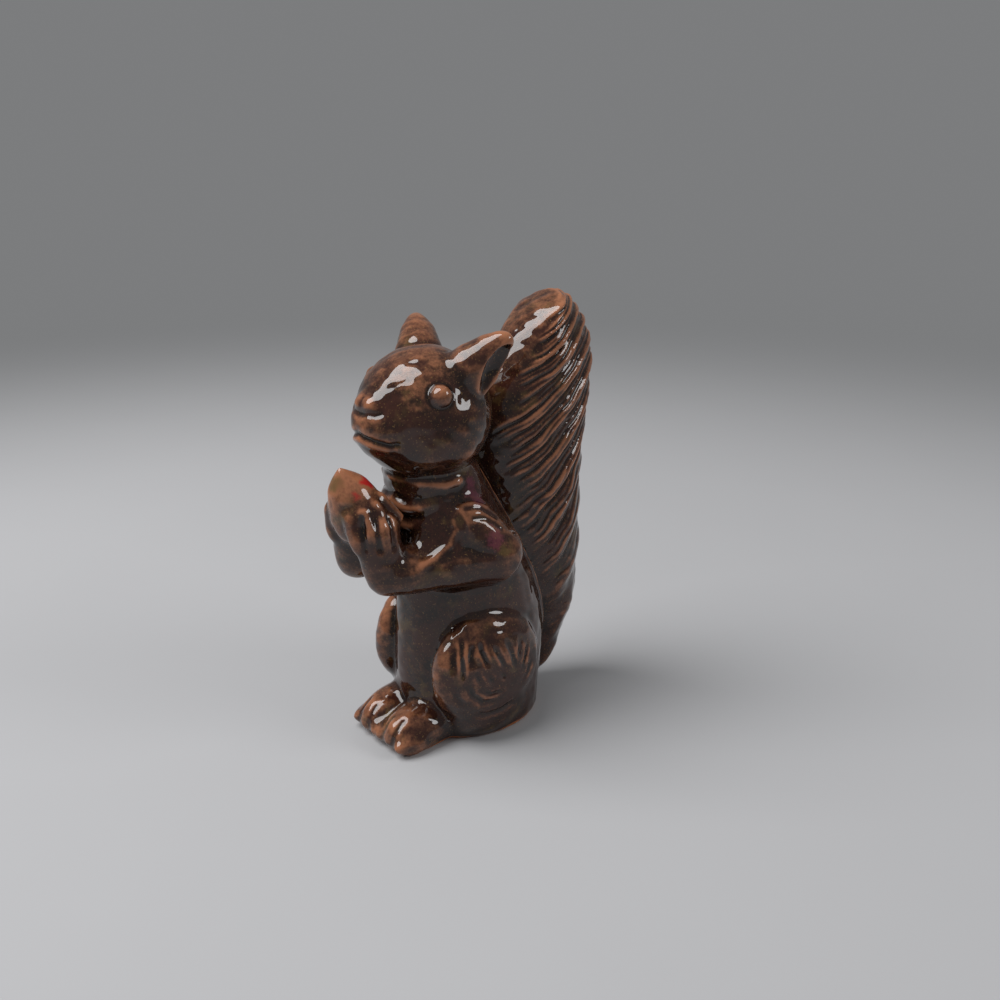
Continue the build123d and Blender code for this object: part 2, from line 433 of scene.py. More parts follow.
@dataclass
class Fusing:
    """Joins copies of the CAD nodes to one glazed surface and finds which point lies on which node."""

    voxel: float = 0.36
    merge_gap: float = 0.001
    reach: float = 7.0
    plug_radius: float = 2.4
    plug_depth: float = 4.4
    plug_back: float = 9.0
    crook: Lump = Lump((9.4, -16.8, 61.6), (4.8, 6.8, 6.5))
    below_haunch: Lump = Lump((14.0, -3.0, 8.5), (6.8, 13.5, 8.0))
    eye_bead: Lump = Lump((14.57, -17.82, 100.15), (2.95, 2.95, 2.95))

    def copy_of(self, kind: Clay) -> bpy.types.Object:
        """Merged copy of a CAD node.

        Args:
            kind: the node.

        Returns:
            The copy, linked to the scene.
        """
        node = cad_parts[kind.value]
        twin = bpy.data.objects.new(f"{kind.value}_clay", node.data.copy())
        twin.matrix_world = node.matrix_world
        bpy.context.scene.collection.objects.link(twin)
        bpy.ops.object.select_all(action="DESELECT")
        twin.select_set(True)
        bpy.context.view_layer.objects.active = twin
        bpy.ops.object.mode_set(mode="EDIT")
        bpy.ops.mesh.select_all(action="SELECT")
        bpy.ops.mesh.remove_doubles(threshold=self.merge_gap * MM)
        bpy.ops.object.mode_set(mode="OBJECT")
        return twin

    def plug(self) -> bpy.types.Object:
        """Stopper that closes the vent while the surface is fused, so that the hollow inside comes away.

        Returns:
            The stopper.
        """
        bpy.ops.object.select_all(action="DESELECT")
        bpy.ops.mesh.primitive_cylinder_add(
            radius=self.plug_radius * MM,
            depth=self.plug_depth * MM,
            location=(0.0, self.plug_back * MM, self.plug_depth * MM / 2.0),
        )
        bpy.ops.object.transform_apply(location=True, rotation=True, scale=True)
        return bpy.context.active_object

    def outer_surface(self, lumps: list[bpy.types.Object]) -> Skin:
        """Fuses lumps of clay, which are used up, and keeps only the outside.

        Args:
            lumps: the lumps.

        Returns:
            The surface.
        """
        bpy.ops.object.select_all(action="DESELECT")
        for lump in lumps:
            lump.select_set(True)
        bpy.context.view_layer.objects.active = lumps[0]
        bpy.ops.object.join()
        whole = bpy.context.active_object
        bpy.ops.object.modifier_add(type="REMESH")
        remesh = whole.modifiers[-1]
        remesh.mode = "VOXEL"
        remesh.voxel_size = self.voxel * MM
        bpy.ops.object.modifier_apply(modifier=remesh.name)
        bpy.ops.object.mode_set(mode="EDIT")
        bpy.ops.mesh.select_all(action="SELECT")
        bpy.ops.mesh.separate(type="LOOSE")
        bpy.ops.object.mode_set(mode="OBJECT")
        shells = sorted(bpy.context.selected_objects, key=lambda shell: max(shell.dimensions), reverse=True)
        skin = Skin(shells[0].data)
        for shell in shells:
            bpy.data.objects.remove(shell)
        return skin

    def label(self, skin: Skin, trees: list[tuple[BVHTree, np.ndarray, np.ndarray]]) -> None:
        """Finds the nearest node of each point and how far the next one is.

        Args:
            skin: the fused surface, which gets its labels.
            trees: search tree and box, in metres, of each node.
        """
        best = np.full(len(skin.points), np.inf)
        second = np.full(len(skin.points), np.inf)
        for index, (tree, low, high) in enumerate(trees):
            above = skin.points > low / MM - self.reach
            below = skin.points < high / MM + self.reach
            for place in np.nonzero(np.all(above & below, axis=1))[0]:
                hit = tree.find_nearest(skin.points[place] * MM)
                gap = hit[3] / MM
                if gap < best[place]:
                    second[place] = best[place]
                    skin.others[place] = skin.labels[place]
                    best[place] = gap
                    skin.labels[place] = index
                elif gap < second[place]:
                    second[place] = gap
                    skin.others[place] = index
        skin.apart = np.minimum(second - best, self.reach)

    def build(self, ears: list[bpy.types.Object]) -> Skin:
        """Fuses the nodes, with other ears in place of the plain ones.

        Args:
            ears: the lumps that stand for the ears.

        Returns:
            The surface, with the node of each point.
        """
        copies = [self.copy_of(kind) for kind in CLAY]
        trees = []
        for twin in copies:
            corners = np.array([vertex.co[:] for vertex in twin.data.vertices])
            tree = BVHTree.FromObject(twin, bpy.context.evaluated_depsgraph_get())
            trees.append((tree, corners.min(axis=0), corners.max(axis=0)))
        plain_ears = [copies[CLAY.index(kind)] for kind in EARS]
        for twin in plain_ears:
            copies.remove(twin)
            bpy.data.objects.remove(twin)
        copies.append(self.plug())
        copies.extend(ears)
        for lump in (self.crook, self.below_haunch, self.eye_bead):
            copies.extend(lump.build())
        skin = self.outer_surface(copies)
        self.label(skin, trees)
        return skin


@dataclass
class Splitting:
    """Parts the finished surface into one closed piece for each clay piece."""

    voting_rounds: int = 12
    own_vote: float = 0.3
    mending_rounds: int = 20
    cap_depth: float = 0.6

    def settle(self, skin: Skin) -> np.ndarray:
        """Evens out the seams, so that no stray patch and no pinched corner is left.

        Args:
            skin: the surface with its labels.

        Returns:
            The clay piece of each face.
        """
        for _ in range(self.voting_rounds):
            votes = np.eye(len(CLAY))[skin.labels]
            skin.labels = np.argmax(skin.neighbour_mean(votes) + self.own_vote * votes, axis=1)
        owners = np.sort(skin.labels[skin.faces], axis=1)[:, 1]
        for _ in range(self.mending_rounds):
            pinched = np.zeros(len(skin.points), dtype=bool)
            for index in range(len(CLAY)):
                rim = self.rim(skin.faces[owners == index], len(skin.points))
                pinched |= np.bincount(rim[:, 0], minlength=len(skin.points)) > 1
            if not pinched.any():
                break
            touched = pinched[skin.faces]
            for corner in range(4):
                rows = touched[:, corner]
                owners[rows] = skin.labels[skin.faces[rows, corner]]
        return owners

    def rim(self, faces: np.ndarray, count: int) -> np.ndarray:
        """Open edges of some faces.

        Args:
            faces: rows of four corners.
            count: how many points there are.

        Returns:
            Rows of two ends, in the turning sense of the faces.
        """
        starts = faces.ravel()
        ends = np.roll(faces, -1, axis=1).ravel()
        open_side = ~np.isin(ends * count + starts, starts * count + ends)
        return np.stack([starts[open_side], ends[open_side]], axis=1)

    def loops(self, rim: np.ndarray) -> list[list[int]]:
        """Chains open edges to closed loops.

        Args:
            rim: rows of two ends.

        Returns:
            Point numbers of each loop.
        """
        following = {int(start): int(end) for start, end in rim}
        chains = []
        while following:
            start, place = following.popitem()
            chain = [start]
            while place != start and place in following:
                chain.append(place)
                place = following.pop(place)
            chains.append(chain)
        return chains

    def piece(self, skin: Skin, owners: np.ndarray, kind: Clay) -> bpy.types.Object:
        """Closed piece of one clay piece, with the marks on its points.

        Args:
            skin: the finished surface.
            owners: the clay piece of each face.
            kind: the clay piece.

        Returns:
            The piece, at the origin, in metres.
        """
        faces = skin.faces[owners == CLAY.index(kind)]
        used, packed = np.unique(faces, return_inverse=True)
        quads = packed.reshape(faces.shape)
        renumber = {int(old): new for new, old in enumerate(used)}
        points = [tuple(row) for row in skin.points[used] * MM]
        corner_normals = list(map(tuple, skin.normals[faces.ravel()]))
        polygons = quads.tolist()
        for chain in self.loops(self.rim(faces, len(skin.points))):
            apex = skin.points[chain].mean(axis=0) - skin.normals[chain].mean(axis=0) * self.cap_depth
            points.append(tuple(apex * MM))
            for start, end in zip(chain, chain[1:] + chain[:1]):
                polygons.append([renumber[end], renumber[start], len(points) - 1])
                flat = np.cross(skin.points[start] - skin.points[end], apex - skin.points[end])
                flat /= max(np.linalg.norm(flat), TINY)
                corner_normals.extend([tuple(flat)] * 3)
        mesh = bpy.data.meshes.new(kind.value)
        mesh.from_pydata(points, [], polygons)
        mesh.polygons.foreach_set("use_smooth", [True] * len(polygons))
        mesh.normals_split_custom_set(corner_normals)
        for name, values in skin.marks.items():
            mark = mesh.attributes.new(name, "FLOAT", "POINT")
            whole = np.zeros(len(points))
            whole[: len(used)] = values[used]
            mark.data.foreach_set("value", whole)
        thing = bpy.data.objects.new(f"{kind.value}_glazed", mesh)
        bpy.context.scene.collection.objects.link(thing)
        return thing


@dataclass(frozen=True)
class Cloudiness:
    """Noise pattern: the size of a patch in millimetres, and its finer layers, their weight and its twist."""

    size: float
    detail: float
    roughness: float = 0.5
    twist: float = 0.0


Number = Union[float, "Value"]


class Graph:
    """Node tree of one material."""

    def __init__(self, name: str) -> None:
        """Starts a material with a Principled shader.

        Args:
            name: name of the material.
        """
        self.material = bpy.data.materials.new(name)
        self.material.use_nodes = True
        self.tree = self.material.node_tree
        self.shader = self.tree.nodes["Principled BSDF"]

    def node(self, kind: str, settings: dict[str, Any], inputs: dict[str | int, Any]) -> bpy.types.Node:
        """Adds a node.

        Args:
            kind: type name of the node.
            settings: properties of the node.
            inputs: numbers, colours or Values for its sockets.

        Returns:
            The node.
        """
        made = self.tree.nodes.new(kind)
        for name, value in settings.items():
            setattr(made, name, value)
        for key, value in inputs.items():
            self.feed(made.inputs[key], value)
        return made

    def feed(self, socket: bpy.types.NodeSocket, value: Any) -> None:
        """Sets or links a socket.

        Args:
            socket: the input.
            value: number, colour or Value.
        """
        if isinstance(value, Value):
            self.tree.links.new(value.socket, socket)
        elif isinstance(value, tuple) and len(value) == 3 and socket.type == "RGBA":
            socket.default_value = (*value, 1.0)
        else:
            socket.default_value = value

    def finish(self, settings: dict[str, Any]) -> None:
        """Feeds the shader's sockets.

        Args:
            settings: number, colour or Value of each socket by its name.
        """
        for name, value in settings.items():
            self.feed(self.shader.inputs[name], value)

    def mark(self, name: str) -> "Value":
        """A mark that was left on the points of the mesh."""
        return Value(self, self.node("ShaderNodeAttribute", {"attribute_name": name}, {}).outputs["Fac"])

    def place(self) -> "Value":
        """Object coordinates in metres."""
        return Value(self, self.node("ShaderNodeTexCoord", {}, {}).outputs["Object"])

    def noise(self, pattern: Cloudiness) -> "Value":
        """Noise over the object coordinates.

        Args:
            pattern: the noise pattern.

        Returns:
            Values round 0.5.
        """
        made = self.node("ShaderNodeTexNoise", {}, {
            "Vector": self.place(), "Scale": 1.0 / (pattern.size * MM), "Detail": pattern.detail,
            "Roughness": pattern.roughness, "Distortion": pattern.twist})
        return Value(self, made.outputs["Fac"])

    def mix(self, share: Number, first: Any, second: Any) -> "Value":
        """Mixes two colours.

        Args:
            share: 0 for the first, 1 for the second.
            first: colour or Value.
            second: colour or Value.

        Returns:
            The mixed colour.
        """
        made = self.node("ShaderNodeMix", {"data_type": "RGBA"}, {0: share, 6: first, 7: second})
        return Value(self, made.outputs[2])


class Value:
    """A socket with arithmetic, where each operation adds a Math node."""

    def __init__(self, graph: Graph, socket: bpy.types.NodeSocket) -> None:
        """Wraps a socket.

        Args:
            graph: the node tree.
            socket: the output.
        """
        self.graph = graph
        self.socket = socket

    def math(self, operation: str, *numbers: Number) -> "Value":
        """Adds a Math node.

        Args:
            operation: its operation.
            numbers: its inputs.

        Returns:
            The result.
        """
        made = self.graph.node("ShaderNodeMath", {"operation": operation}, dict(enumerate(numbers)))
        return Value(self.graph, made.outputs[0])

    def __add__(self, other: Number) -> "Value":
        """Sum."""
        return self.math("ADD", self, other)

    def __radd__(self, other: Number) -> "Value":
        """Sum with a number first."""
        return self.math("ADD", other, self)

    def __sub__(self, other: Number) -> "Value":
        """Difference."""
        return self.math("SUBTRACT", self, other)

    def __rsub__(self, other: Number) -> "Value":
        """Difference from a number."""
        return self.math("SUBTRACT", other, self)

    def __mul__(self, other: Number) -> "Value":
        """Product."""
        return self.math("MULTIPLY", self, other)

    def __rmul__(self, other: Number) -> "Value":
        """Product with a number first."""
        return self.math("MULTIPLY", other, self)

    def step(self, low: float, high: float) -> "Value":
        """Soft step.

        Args:
            low: where it starts.
            high: where it ends.

        Returns:
            Values from 0 to 1.
        """
        made = self.graph.node("ShaderNodeMapRange", {"interpolation_type": "SMOOTHSTEP"}, {
            0: self, 1: low, 2: high, 3: 0.0, 4: 1.0})
        return Value(self.graph, made.outputs[0])


@dataclass(frozen=True)
class Spread:
    """How far one colour spreads in the glaze: a soft step over a value that noise frays."""

    low: float
    high: float
    share: float = 1.0
    cloud: float = 0.0
    grain: float = 0.0

    def over(self, value: Value, cloud: Value, grain: Value) -> Value:
        """Share of the colour.

        Args:
            value: what the spread follows.
            cloud: coarse noise.
            grain: fine noise.

        Returns:
            Values from 0 to the largest share.
        """
        for noise, amount in ((cloud, self.cloud), (grain, self.grain)):
            if amount:
                value = value + (noise - 0.5) * amount
        return value.step(self.low, self.high) * self.share


@dataclass(frozen=True)
class TreacleGlaze:
    """Glossy brown glaze that is near black where it pools and breaks to rust on edges; upward-facing
    surfaces and the acorn are also pushed toward rust as painted light.
    """

    thick: Colour = (0.0075, 0.0040, 0.0030)
    brown: Colour = (0.038, 0.0122, 0.0078)
    rust: Colour = (0.36, 0.143, 0.071)
    olive: Colour = (0.10, 0.062, 0.020)
    ochre: Colour = (0.24, 0.14, 0.05)
    plum: Colour = (0.15, 0.030, 0.055)
    scarlet: Colour = (0.42, 0.022, 0.020)
    clay: Colour = (0.40, 0.14, 0.06)
    cloud: Cloudiness = Cloudiness(9.0, 3.0, 0.6, 0.4)
    grain: Cloudiness = Cloudiness(0.9, 3.0, 0.65)
    patch: Cloudiness = Cloudiness(8.0, 4.0, 0.6, 0.2)
    speck: Cloudiness = Cloudiness(0.5, 1.0)
    clouding: Spread = Spread(0.35, 0.68, grain=0.5)
    patching: Spread = Spread(0.55, 0.70, 0.5)
    # spreads rust over the ridge mark: real wear on edges, plus painted light on upward faces and a painted
    # highlight on the acorn
    wear_and_painted_light: Spread = Spread(0.12, 0.95, 0.85, cloud=0.9, grain=0.7)
    pooling: Spread = Spread(0.05, 0.6, 0.85, cloud=0.3)
    plum_stain: Spread = Spread(0.35, 0.9, 0.6, grain=1.2)
    olive_stain: Spread = Spread(0.3, 0.8, 0.8, grain=0.4)
    scarlet_stain: Spread = Spread(0.35, 0.8, grain=0.4)
    speckling: Spread = Spread(0.64, 0.74, 0.45)
    roughness: float = 0.35
    bare_roughness: float = 0.75
    coat_roughness: float = 0.03
    coat_ior: float = 1.52

    def make(self) -> bpy.types.Material:
        """Builds the material, in which one layer of colour after the other goes over the brown.

        Returns:
            The material.
        """
        graph = Graph("treacle glaze")
        cloud, grain, bare = graph.noise(self.cloud), graph.noise(self.grain), graph.mark("bare")
        layers = (
            (self.clouding, cloud, self.thick),
            (self.patching, graph.noise(self.patch), self.olive),
            # the ridge mark carries real wear on edges and also painted light on upward faces and the acorn
            (self.wear_and_painted_light, graph.mark("ridge"), self.rust),
            (self.pooling, graph.mark("pool"), self.thick),
            (self.plum_stain, graph.mark("plum"), self.plum),
            (self.olive_stain, graph.mark("olive"), self.olive),
            (self.scarlet_stain, graph.mark("scarlet"), self.scarlet),
            (self.speckling, graph.noise(self.speck), self.ochre),
        )
        colour: Any = self.brown
        for spread, value, tint in layers:
            colour = graph.mix(spread.over(value, cloud, grain), colour, tint)
        graph.finish({
            "Base Color": graph.mix(bare, colour, self.clay),
            "Roughness": self.roughness + bare * (self.bare_roughness - self.roughness),
            "Specular IOR Level": 0.0,  # only the coat reflects
            "Coat Weight": 1.0 - bare,
            "Coat Roughness": self.coat_roughness,
            "Coat IOR": self.coat_ior,
        })
        return graph.material


class Modelling:
    """Work on one kind of clay piece after the fusing; a step that a piece doesn't need changes nothing."""

    def shape(self, skin: Skin) -> None:
        """Shapes the surface before it is carved.

        Args:
            skin: the fused surface.
        """

    def carve(self, skin: Skin) -> np.ndarray:
        """Height of the carving.

        Args:
            skin: the fused surface.

        Returns:
            Millimetres, one for each point.
        """
        return np.zeros(len(skin.points))


@dataclass
class Head(Modelling):
    """Face of the head: mouth, nose pad, eyelids and cheeks."""

    eye: Place = (15.0, -18.0, 100.4)
    lid_radius: float = 3.4
    lid_width: float = 0.45
    lid_height: float = -0.3
    nose: Place = (0.0, -31.0, 97.5)
    nose_fade: Span = (5.5, 2.0)
    nose_strength: float = 0.7
    nose_rounds: int = 40
    edge_rounds: int = 3
    mouth: Stroke = Stroke(
        ((0.0, -33.4, 90.2), (4.2, -32.1, 89.3), (8.1, -28.9, 88.1), (10.6, -26.2, 88.9)), 0.75, -0.75)
    lower_lip: Stroke = Stroke(((0.0, -33.0, 88.5), (4.2, -31.6, 87.6), (8.4, -28.2, 86.4)), 0.9, 0.35)
    nose_groove: Stroke = Stroke(((0.0, -32.6, 95.4), (5.0, -30.6, 95.6), (7.6, -28.6, 96.6)), 1.0, -0.65)
    cheeks: tuple[Blob, ...] = (Blob((13.8, -20.5, 85.6), 4.0, 1.1), Blob((15.6, -11.5, 85.4), 4.4, 1.1))
    nose_pad: Blob = Blob((2.6, -30.6, 97.6), 2.4, 0.8)
    temple: Blob = Blob((16.4, -12.4, 98.8), 1.6, -0.5)
    snout_side: Blob = Blob((7.0, -27.0, 99.0), 3.5, -0.3)

    def shape(self, skin: Skin) -> None:
        """Blends the nose into the snout.

        Args:
            skin: the fused surface.
        """
        gap = np.linalg.norm(skin.points - np.array(self.nose), axis=1)
        skin.relax(self.nose_strength * smoothstep(*self.nose_fade, gap), self.nose_rounds)

    def carve(self, skin: Skin) -> np.ndarray:
        """Height of the eyelids, the mouth, the nose and the cheeks.

        Args:
            skin: the fused surface.

        Returns:
            Millimetres, one for each point.
        """
        from_eye = np.linalg.norm(fold(skin.points) - np.array(self.eye), axis=1)
        lids = self.lid_height * bell(from_eye - self.lid_radius, self.lid_width)
        forms = (self.mouth, self.lower_lip, self.nose_groove, *self.cheeks,
                 self.nose_pad, self.temple, self.snout_side)
        return (lids + total_height(forms, skin.points)) * skin.soft(self.edge_rounds, Clay.HEAD)


@dataclass
class Ears(Modelling):
    """Ears: tapered, with a round tip and a leaf-shaped hollow on the outer side."""

    head_middle: Place = (0.0, -12.8, 92.3)
    tip: Place = (20.7, -0.4, 114.5)
    profile: tuple[Span, ...] = ((0.43, 7.2), (0.58, 6.7), (0.76, 5.1), (0.88, 3.3), (0.935, 2.1))
    balls: int = 24
    segments: int = 40
    facing: Place = (0.711, 0.089, -0.712)
    facing_fade: Span = (0.0, 0.4)
    hollow_place: float = 24.2
    hollow_half_length: float = 6.8
    hollow_half_width: float = 3.9
    hollow_depth: float = 4.6
    hollow_roundness: float = 0.6
    strength: float = 0.5
    rounds: int = 8
    edge_rounds: int = 3

    def line(self, side: float) -> tuple[np.ndarray, float]:
        """Middle line of an ear, from the middle of the head.

        Args:
            side: 1 for the left ear, -1 for the right ear.

        Returns:
            Its direction, and how far out the tip is in millimetres.
        """
        way = (np.array(self.tip) - np.array(self.head_middle)) * (side, 1.0, 1.0)
        length = float(np.linalg.norm(way))
        return way / length, length

    def build(self) -> list[bpy.types.Object]:
        """Adds a row of balls for each ear, which follow the profile from the head to the tip.

        Returns:
            The lumps of clay.
        """
        made = []
        places, radii = np.array(self.profile).T
        for side in (-1.0, 1.0):
            axis, length = self.line(side)
            for share in np.linspace(places[0], places[-1], self.balls):
                middle = np.array(self.head_middle) + axis * share * length
                bpy.ops.object.select_all(action="DESELECT")
                bpy.ops.mesh.primitive_uv_sphere_add(
                    segments=self.segments, ring_count=self.segments // 2,
                    radius=float(np.interp(share, places, radii)) * MM, location=tuple(middle * MM))
                made.append(bpy.context.active_object)
        return made

    def shape(self, skin: Skin) -> None:
        """Presses the hollow into both ears.

        Args:
            skin: the fused surface.
        """
        for side, kind in ((1.0, Clay.LEFT_EAR), (-1.0, Clay.RIGHT_EAR)):
            axis, _ = self.line(side)
            out = np.array(self.facing) * (side, 1.0, 1.0)
            out -= axis * (out @ axis)
            out /= np.linalg.norm(out)
            place = skin.points - np.array(self.head_middle)
            across = place @ np.cross(axis, out) / self.hollow_half_width
            along = (place @ axis - self.hollow_place) / self.hollow_half_length
            room = np.clip(1.0 - across**2 - along**2, 0.0, 1.0) ** self.hollow_roundness
            turned = smoothstep(*self.facing_fade, skin.normals @ out)
            mask = skin.soft(self.edge_rounds, kind)
            skin.points = skin.points - out * (self.hollow_depth * room * turned * mask)[:, None]
            skin.relax(self.strength * mask, self.rounds)


@dataclass
class Body(Modelling):
    """Torso: the round nape, the folded bib under the chin and the raised edge beside the tail."""

    folds: tuple[Stroke, ...] = (
        Stroke(((0.0, -23.4, 77.0), (8.1, -20.2, 76.4), (11.8, -15.0, 75.8), (12.6, -9.0, 76.6)), 1.2, 0.9),
        Stroke(((0.0, -23.2, 73.2), (3.2, -22.7, 72.0), (8.0, -20.3, 72.4), (11.8, -15.0, 73.9)), 0.9, -0.9),
        Stroke(((0.0, -22.9, 70.6), (4.0, -22.4, 69.7), (7.8, -20.2, 69.8), (12.6, -11.5, 72.8)), 1.2, 1.2),
        Stroke(((0.0, -22.6, 67.6), (4.0, -22.3, 66.9), (7.8, -20.3, 67.2), (11.6, -16.0, 69.4)), 0.9, -0.9),
        Stroke(((0.0, -22.3, 64.6), (4.0, -22.0, 64.2), (8.0, -20.2, 64.8)), 1.2, 0.8),
    )
    fold_edge_rounds: int = 3
    nape: Zone = Zone(0.85, 90, heights=(61.0, 68.0), depths=(-10.0, -5.0))
    nape_edge_rounds: int = 4
    edge_height: float = 0.95
    edge_place: float = 1.1
    edge_width: float = 0.9
    edge_rounds: int = 2

    def shape(self, skin: Skin) -> None:
        """Rounds the back of the neck.

        Args:
            skin: the fused surface.
        """
        nape = skin.of(Clay.BODY) * self.nape.share(skin)
        self.nape.smooth(skin, skin.feathered(nape, self.nape_edge_rounds))

    def carve(self, skin: Skin) -> np.ndarray:
        """Height of the folds and of the edge beside the tail.

        Args:
            skin: the fused surface.

        Returns:
            Millimetres, one for each point.
        """
        beside = skin.of(Clay.BODY) * skin.meets(Clay.TAIL)
        edge = beside * bell(skin.apart - self.edge_place, self.edge_width)
        folds = total_height(self.folds, skin.points) * skin.soft(self.fold_edge_rounds, Clay.BODY)
        return self.edge_height * skin.feathered(edge, self.edge_rounds) + folds


@dataclass
class Arms(Modelling):
    """Arms: the dished crook with its inner rim, fur lines over the shoulder and grooves between fingers."""

    crook_rim: Stroke = Stroke(
        ((14.1, -27.2, 55.9), (15.4, -21.2, 58.3), (15.6, -16.6, 60.9), (15.8, -14.4, 64.9),
         (13.7, -14.6, 69.1)), 1.2, 0.6)
    fur: tuple[Stroke, ...] = (
        Stroke(((13.7, -13.0, 71.2), (15.4, -8.0, 71.6), (15.6, -3.0, 69.4)), 0.7, -0.45),
        Stroke(((15.6, -12.8, 69.6), (17.3, -7.8, 69.7), (18.2, -1.8, 65.4)), 0.7, -0.45),
        Stroke(((17.4, -12.0, 67.4), (19.0, -7.0, 67.0), (20.0, -2.0, 62.6)), 0.7, -0.35),
    )
    finger_grooves: tuple[Stroke, ...] = (
        Stroke(((7.4, -37.4, 72.5), (8.2, -37.6, 66.0), (8.4, -37.0, 61.0)), 0.8, -0.8),
        Stroke(((9.2, -34.8, 72.5), (10.4, -34.8, 66.0), (10.8, -34.4, 61.0)), 0.8, -0.8),
        Stroke(((9.4, -30.8, 72.5), (10.8, -31.0, 66.0), (11.2, -31.0, 61.0)), 0.8, -0.8),
    )
    edge_rounds: int = 3
    crook: Place = (11.5, -18.5, 63.5)
    crook_radii: Place = (9.0, 10.0, 8.5)
    crook_fade: Span = (1.0, 0.6)
    crook_strength: float = 0.9
    crook_rounds: int = 900
    dish: Blob = Blob((12.2, -20.2, 62.6), 4.6, -0.8)
    under: Zone = Zone(0.85, 70, heights=(58.0, 55.0))
    under_fade: Span = (3.2, 1.0)
    under_edge_rounds: int = 4
    palm: Zone = Zone(0.85, 70, heights=(64.5, 61.0), depths=(-27.0, -30.0))
    fingers: Zone = Zone(0.6, 14, heights=(58.0, 61.0), depths=(-26.0, -29.0))
    soft_rounds: int = 2

    def shape(self, skin: Skin) -> None:
        """Makes the crook a shallow dish, and smooths the crease under the arm, the palm and the fingers.

        Args:
            skin: the fused surface.
        """
        gap = np.linalg.norm((fold(skin.points) - np.array(self.crook)) / np.array(self.crook_radii), axis=1)
        own = skin.of(*ARMS, Clay.BODY)
        near = skin.feathered(own, self.soft_rounds)
        skin.relax(self.crook_strength * smoothstep(*self.crook_fade, gap) * near, self.crook_rounds)
        skin.raise_by(self.dish.at(skin.points) * near)
        under = own * skin.meets(*ARMS, Clay.BODY) * smoothstep(*self.under_fade, skin.apart)
        self.under.smooth(skin, skin.feathered(under * self.under.share(skin), self.under_edge_rounds))
        for zone in (self.palm, self.fingers):
            zone.smooth(skin, skin.soft(self.soft_rounds, *ARMS) * zone.share(skin))

    def carve(self, skin: Skin) -> np.ndarray:
        """Height of the rim, the fur lines and the grooves.

        Args:
            skin: the fused surface.

        Returns:
            Millimetres, one for each point.
        """
        heights = total_height((self.crook_rim, *self.fur, *self.finger_grooves), skin.points)
        return heights * skin.soft(self.edge_rounds, *ARMS)


@dataclass
class Haunches(Modelling):
    """Thighs: short strokes of fur that fan out below the smooth knee, cut with a blunt tool.

    Each cut is a path of places behind the origin and above the ground, as seen from the side.
    """

    seed: int = 41
    width: float = 0.75
    width_range: Span = (0.8, 1.25)
    depth: float = 0.8
    depth_range: Span = (0.75, 1.15)
    taper: float = 4.5
    burr_width: float = 2.0
    burr_height: float = 0.35
    edge_rounds: int = 4
    cuts: tuple[tuple[Span, ...], ...] = (
        ((-16.0, 33.0), (-17.8, 29.0), (-18.8, 24.0)),
        ((-14.4, 34.6), (-15.8, 30.0), (-16.4, 22.5)),
        ((-12.4, 33.0), (-13.6, 29.6), (-13.8, 25.4)),
        ((-12.8, 25.6), (-12.2, 22.8), (-10.6, 19.6)),
        ((-10.4, 33.4), (-10.4, 30.0), (-8.8, 24.6)),
        ((-9.8, 24.0), (-8.4, 21.4), (-6.4, 18.8)),
        ((-6.8, 31.6), (-5.8, 28.6), (-3.2, 22.6)),
        ((-5.8, 23.4), (-4.2, 21.4), (-2.0, 19.8)),
        ((-2.8, 32.2), (-1.0, 27.0), (0.2, 21.6)),
        ((3.0, 31.0), (2.4, 27.4), (1.0, 24.0)),
        ((6.0, 28.0), (4.6, 24.0), (2.4, 20.6)),
        ((7.6, 22.6), (5.4, 18.6), (2.6, 16.6)),
        ((-18.6, 22.0), (-17.6, 17.6), (-15.2, 13.6)),
        ((-15.4, 22.0), (-13.6, 17.6), (-10.4, 14.6), (-5.4, 14.2)),
        ((-11.4, 18.8), (-8.2, 16.8), (-3.4, 17.0)),
        ((-13.4, 12.2), (-9.2, 9.8), (-3.2, 9.4), (2.4, 11.4)),
    )

    def carve(self, skin: Skin) -> np.ndarray:
        """Height of the cuts and of the burr beside each of them.

        Args:
            skin: the fused surface.

        Returns:
            Millimetres, one for each point.
        """
        dice = np.random.default_rng(self.seed)
        strokes = []
        for cut in self.cuts:
            path = tuple((0.0, back, up) for back, up in cut)
            width = self.width * dice.uniform(*self.width_range)
            depth = self.depth * dice.uniform(*self.depth_range)
            strokes.append(Stroke(path, width, -depth, True, self.taper))
            strokes.append(Stroke(path, self.burr_width * width, self.burr_height * depth, True))
        return total_height(tuple(strokes), skin.points) * skin.soft(self.edge_rounds, *HAUNCHES)


@dataclass
class Feet(Modelling):
    """Feet: soft toes with grooves between them."""

    strength: float = 0.6
    rounds: int = 60
    lift_fade: Span = (0.3, 2.0)
    soft_rounds: int = 4
    edge_rounds: int = 3
    strokes: tuple[Stroke, ...] = (
        Stroke(((3.6, -33.6, 2.0), (3.6, -32.0, 6.4), (3.9, -28.0, 10.2)), 0.8, -0.4),
        Stroke(((8.4, -33.4, 2.0), (8.4, -31.8, 6.4), (8.3, -27.0, 10.2)), 0.8, -0.4),
    )

    def shape(self, skin: Skin) -> None:
        """Rounds the toes, while what rests on the ground keeps its height.

        Args:
            skin: the fused surface.
        """
        before = skin.points[:, 2].copy()
        skin.relax(self.strength * skin.soft(self.soft_rounds, *FEET), self.rounds)
        lift = (skin.points[:, 2] - before) * smoothstep(*self.lift_fade, before)
        skin.points[:, 2] = before + lift
        skin.turn_normals()

    def carve(self, skin: Skin) -> np.ndarray:
        """Height of the grooves.

        Args:
            skin: the fused surface.

        Returns:
            Millimetres, one for each point.
        """
        return total_height(self.strokes, skin.points) * skin.soft(self.edge_rounds, *FEET)


